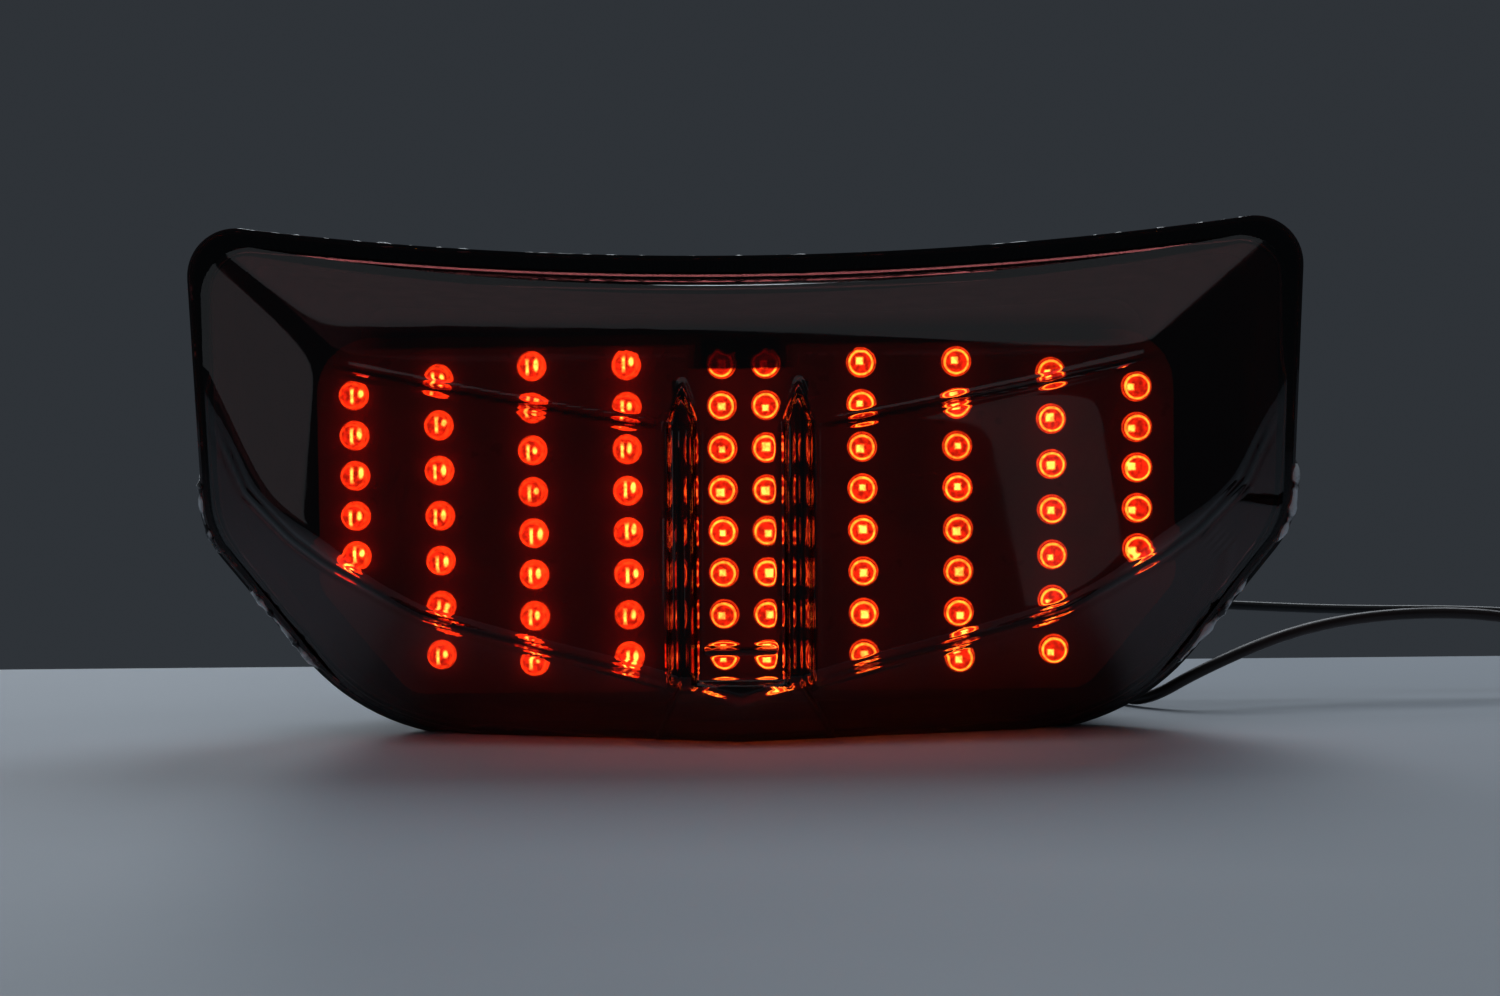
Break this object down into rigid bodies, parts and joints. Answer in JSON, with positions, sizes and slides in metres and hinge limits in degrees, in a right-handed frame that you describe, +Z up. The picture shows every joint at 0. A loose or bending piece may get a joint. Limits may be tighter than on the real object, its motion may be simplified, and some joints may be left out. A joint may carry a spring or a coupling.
{
  "type": "motorcycle tail light",
  "caption": "Wide faceted motorcycle tail light: smoked lens over columns of round red LEDs, closed rear housing with rubber-mounted ears, thin leads ending in a latched plug.",
  "frame": {"origin": "middle of the light's box, without its leads and plug, on the flat underside it stands on", "axes": "+Z up, the lens faces -Y, +Y towards the motorcycle, +X to the right as seen from behind the motorcycle"},
  "size_m": [0.3071, 0.1012, 0.0949],
  "materials": {
    "smoked_lens": "polished, smoked and see-through",
    "housing_black": "moulded black ABS, fine grain",
    "sealant": "pale sealant",
    "bezel_dark": "dark red satin",
    "board": "solder mask over glass-filled board",
    "led_red": "clear red epoxy",
    "tinned_metal": "tinned leg and solder",
    "zinc_steel": "zinc plated",
    "resistor_blue": "lacquered body with colour rings",
    "component_black": "moulded epoxy",
    "capacitor_sleeve": "shrunk sleeve with bare top",
    "wire_black": "PVC, satin",
    "wire_brown_black": "PVC, satin",
    "rubber_black": "matt",
    "nylon_black": "moulded nylon",
    "contact_brass": "stamped"
  },
  "bodies": {
    "light": {"ballast_resistors": "resistor_blue", "board_screws": "zinc_steel", "bond_line": "sealant", "coil_tie": "nylon_black", "earth_coil": "wire_black", "earth_lead": "wire_black", "earth_lead_end": "wire_black", "feed_coil": "wire_brown_black", "feed_lead": "wire_brown_black", "feed_lead_end": "wire_brown_black", "filter_capacitor": "capacitor_sleeve", "inner_wires": "wire_black", "lead_grommet": "rubber_black", "led_bezel": "bezel_dark", "led_board": "board", "led_column_01": "led_red", "led_column_02": "led_red", "led_column_03": "led_red", "led_column_04": "led_red", "led_column_05": "led_red", "led_column_06": "led_red", "led_column_07": "led_red", "led_column_08": "led_red", "led_column_09": "led_red", "led_column_10": "led_red", "led_legs": "tinned_metal", "lens": "smoked_lens", "mount_collar_left": "zinc_steel", "mount_collar_right": "zinc_steel", "mount_ear_left": "housing_black", "mount_ear_right": "housing_black", "mount_grommet_left": "rubber_black", "mount_grommet_right": "rubber_black", "plug_boot": "rubber_black", "plug_housing": "nylon_black", "plug_terminals": "contact_brass", "polarity_diodes": "component_black", "rear_housing": "housing_black", "rear_peg": "housing_black", "stop_regulator": "component_black", "tail_regulator": "component_black", "vent_cap_left": "rubber_black", "vent_cap_right": "rubber_black", "vent_spout_left": "housing_black", "vent_spout_right": "housing_black"},
    "latch": {"plug_latch": "nylon_black"}
  },
  "joints": [
    {"name": "latch_press", "type": "hinge", "parent": "light", "child": "latch", "pos_m": [0.1952, -0.00301, 0.0094], "axis": [-1, 0, 0], "range_deg": [0, 6], "stiffness_Nm_per_rad": 0.02}
  ]
}
